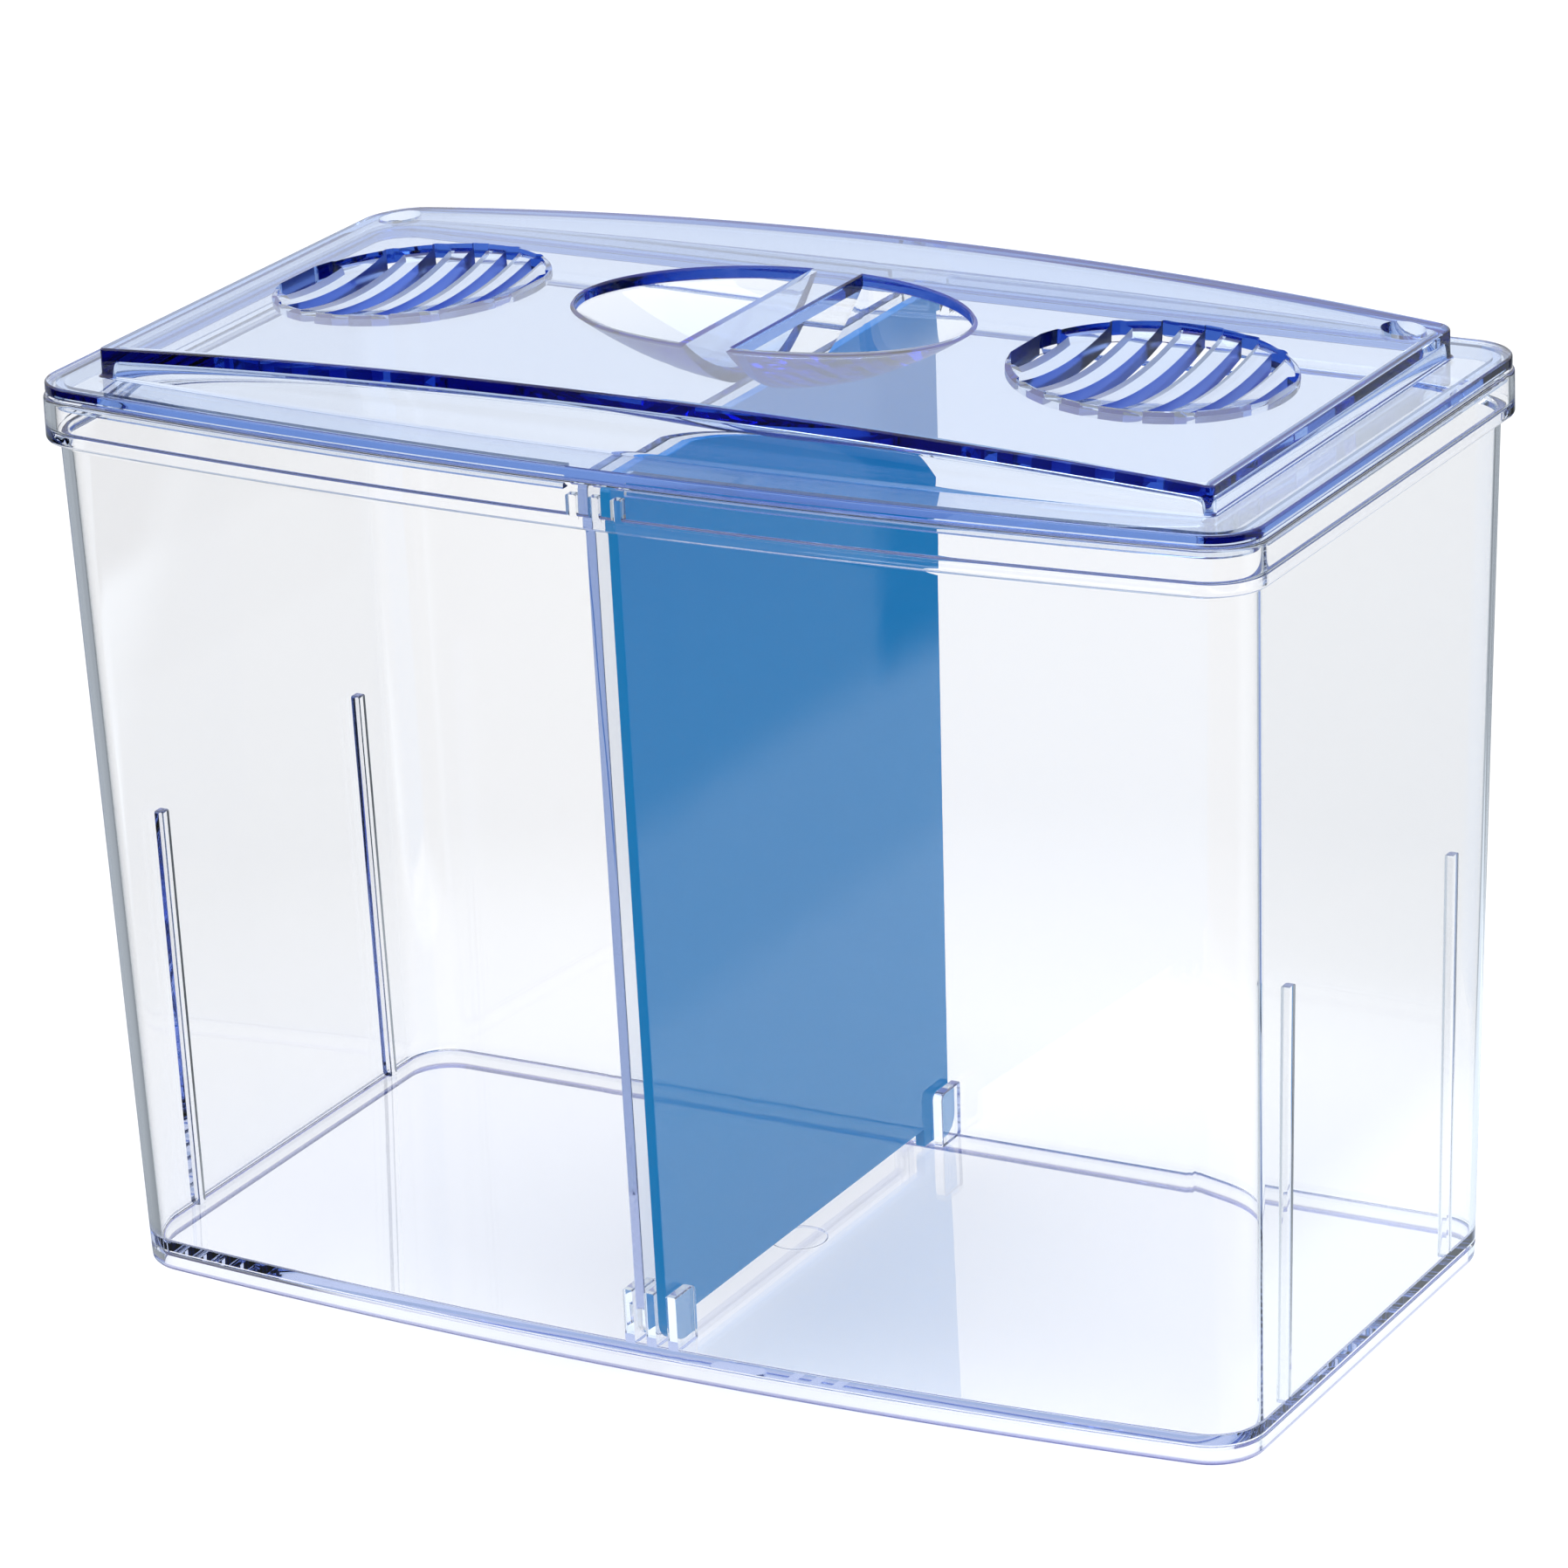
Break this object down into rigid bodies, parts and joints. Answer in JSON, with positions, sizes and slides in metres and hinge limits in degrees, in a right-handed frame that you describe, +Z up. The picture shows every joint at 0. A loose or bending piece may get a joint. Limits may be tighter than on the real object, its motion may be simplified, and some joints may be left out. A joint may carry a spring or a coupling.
{
  "type": "betta tank",
  "caption": "Clear bow-front desktop fish tank with lift-out dividers in a rim slot and a blue vented lift-off lid with finger bowls and airline holes.",
  "frame": {"origin": "middle of the footprint's box at the bottom of the foot, on the surface that the tank stands on", "axes": "+X towards the right end as seen from the bowed front, +Y towards the flat back, +Z up"},
  "size_m": [0.24, 0.126, 0.182],
  "materials": {
    "clear_styrene": "clear injection-moulded polystyrene, polished",
    "blue_tint_styrene": "transparent blue injection-moulded polystyrene, polished",
    "clear_divider": "clear injection-moulded polystyrene sheet, polished",
    "blue_divider": "blue injection-moulded polystyrene sheet, nearly opaque, satin gloss"
  },
  "bodies": {
    "tank_body": {"tank": "clear_styrene"},
    "lid_body": {"lid": "blue_tint_styrene"},
    "divider_clear_body": {"divider_clear": "clear_divider"},
    "divider_blue_body": {"divider_blue": "blue_divider"}
  },
  "joints": [
    {"name": "lid_lift", "type": "slide", "parent": "tank_body", "child": "lid_body", "axis": [0, 0, 1], "range_m": [0, 0.36]},
    {"name": "divider_clear_lift", "type": "slide", "parent": "tank_body", "child": "divider_clear_body", "axis": [0, 0, 1], "range_m": [0, 0.18]},
    {"name": "divider_blue_lift", "type": "slide", "parent": "tank_body", "child": "divider_blue_body", "axis": [0, 0, 1], "range_m": [0, 0.18]}
  ],
  "couplings": [
    {"joint": "divider_clear_lift", "follows": "lid_lift", "ratio": 0.5},
    {"joint": "divider_blue_lift", "follows": "lid_lift", "ratio": 0.5}
  ]
}
